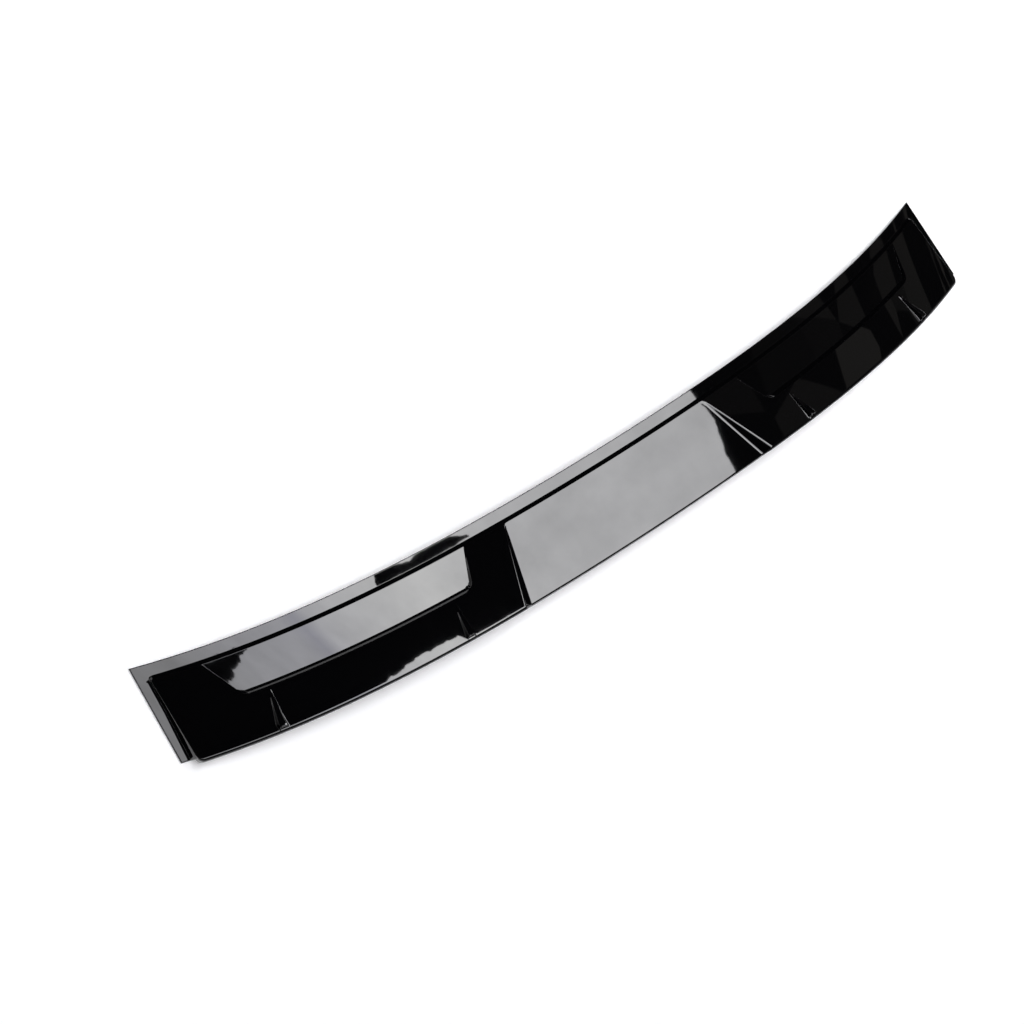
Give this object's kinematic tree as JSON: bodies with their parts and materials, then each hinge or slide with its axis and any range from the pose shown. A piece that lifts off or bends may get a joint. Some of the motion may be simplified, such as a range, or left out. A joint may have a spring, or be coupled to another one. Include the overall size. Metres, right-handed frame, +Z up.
{
  "type": "roof spoiler",
  "caption": "Shallow curved roof spoiler in gloss black: a thin crowned shell with a bonding flange, raised wings, sunk panels and small fins at the trailing edge.",
  "frame": {"origin": "middle of the plan box, at the level of the end flanges' undersides on which the shell rests", "axes": "+X across the car along the span, +Y to the front of the car, +Z up"},
  "size_m": [1.21, 0.181, 0.0575],
  "materials": {
    "gloss_abs": "gloss black moulded ABS, satin on the hidden underside"
  },
  "bodies": {
    "root": {"spoiler": "gloss_abs"}
  },
  "joints": []
}
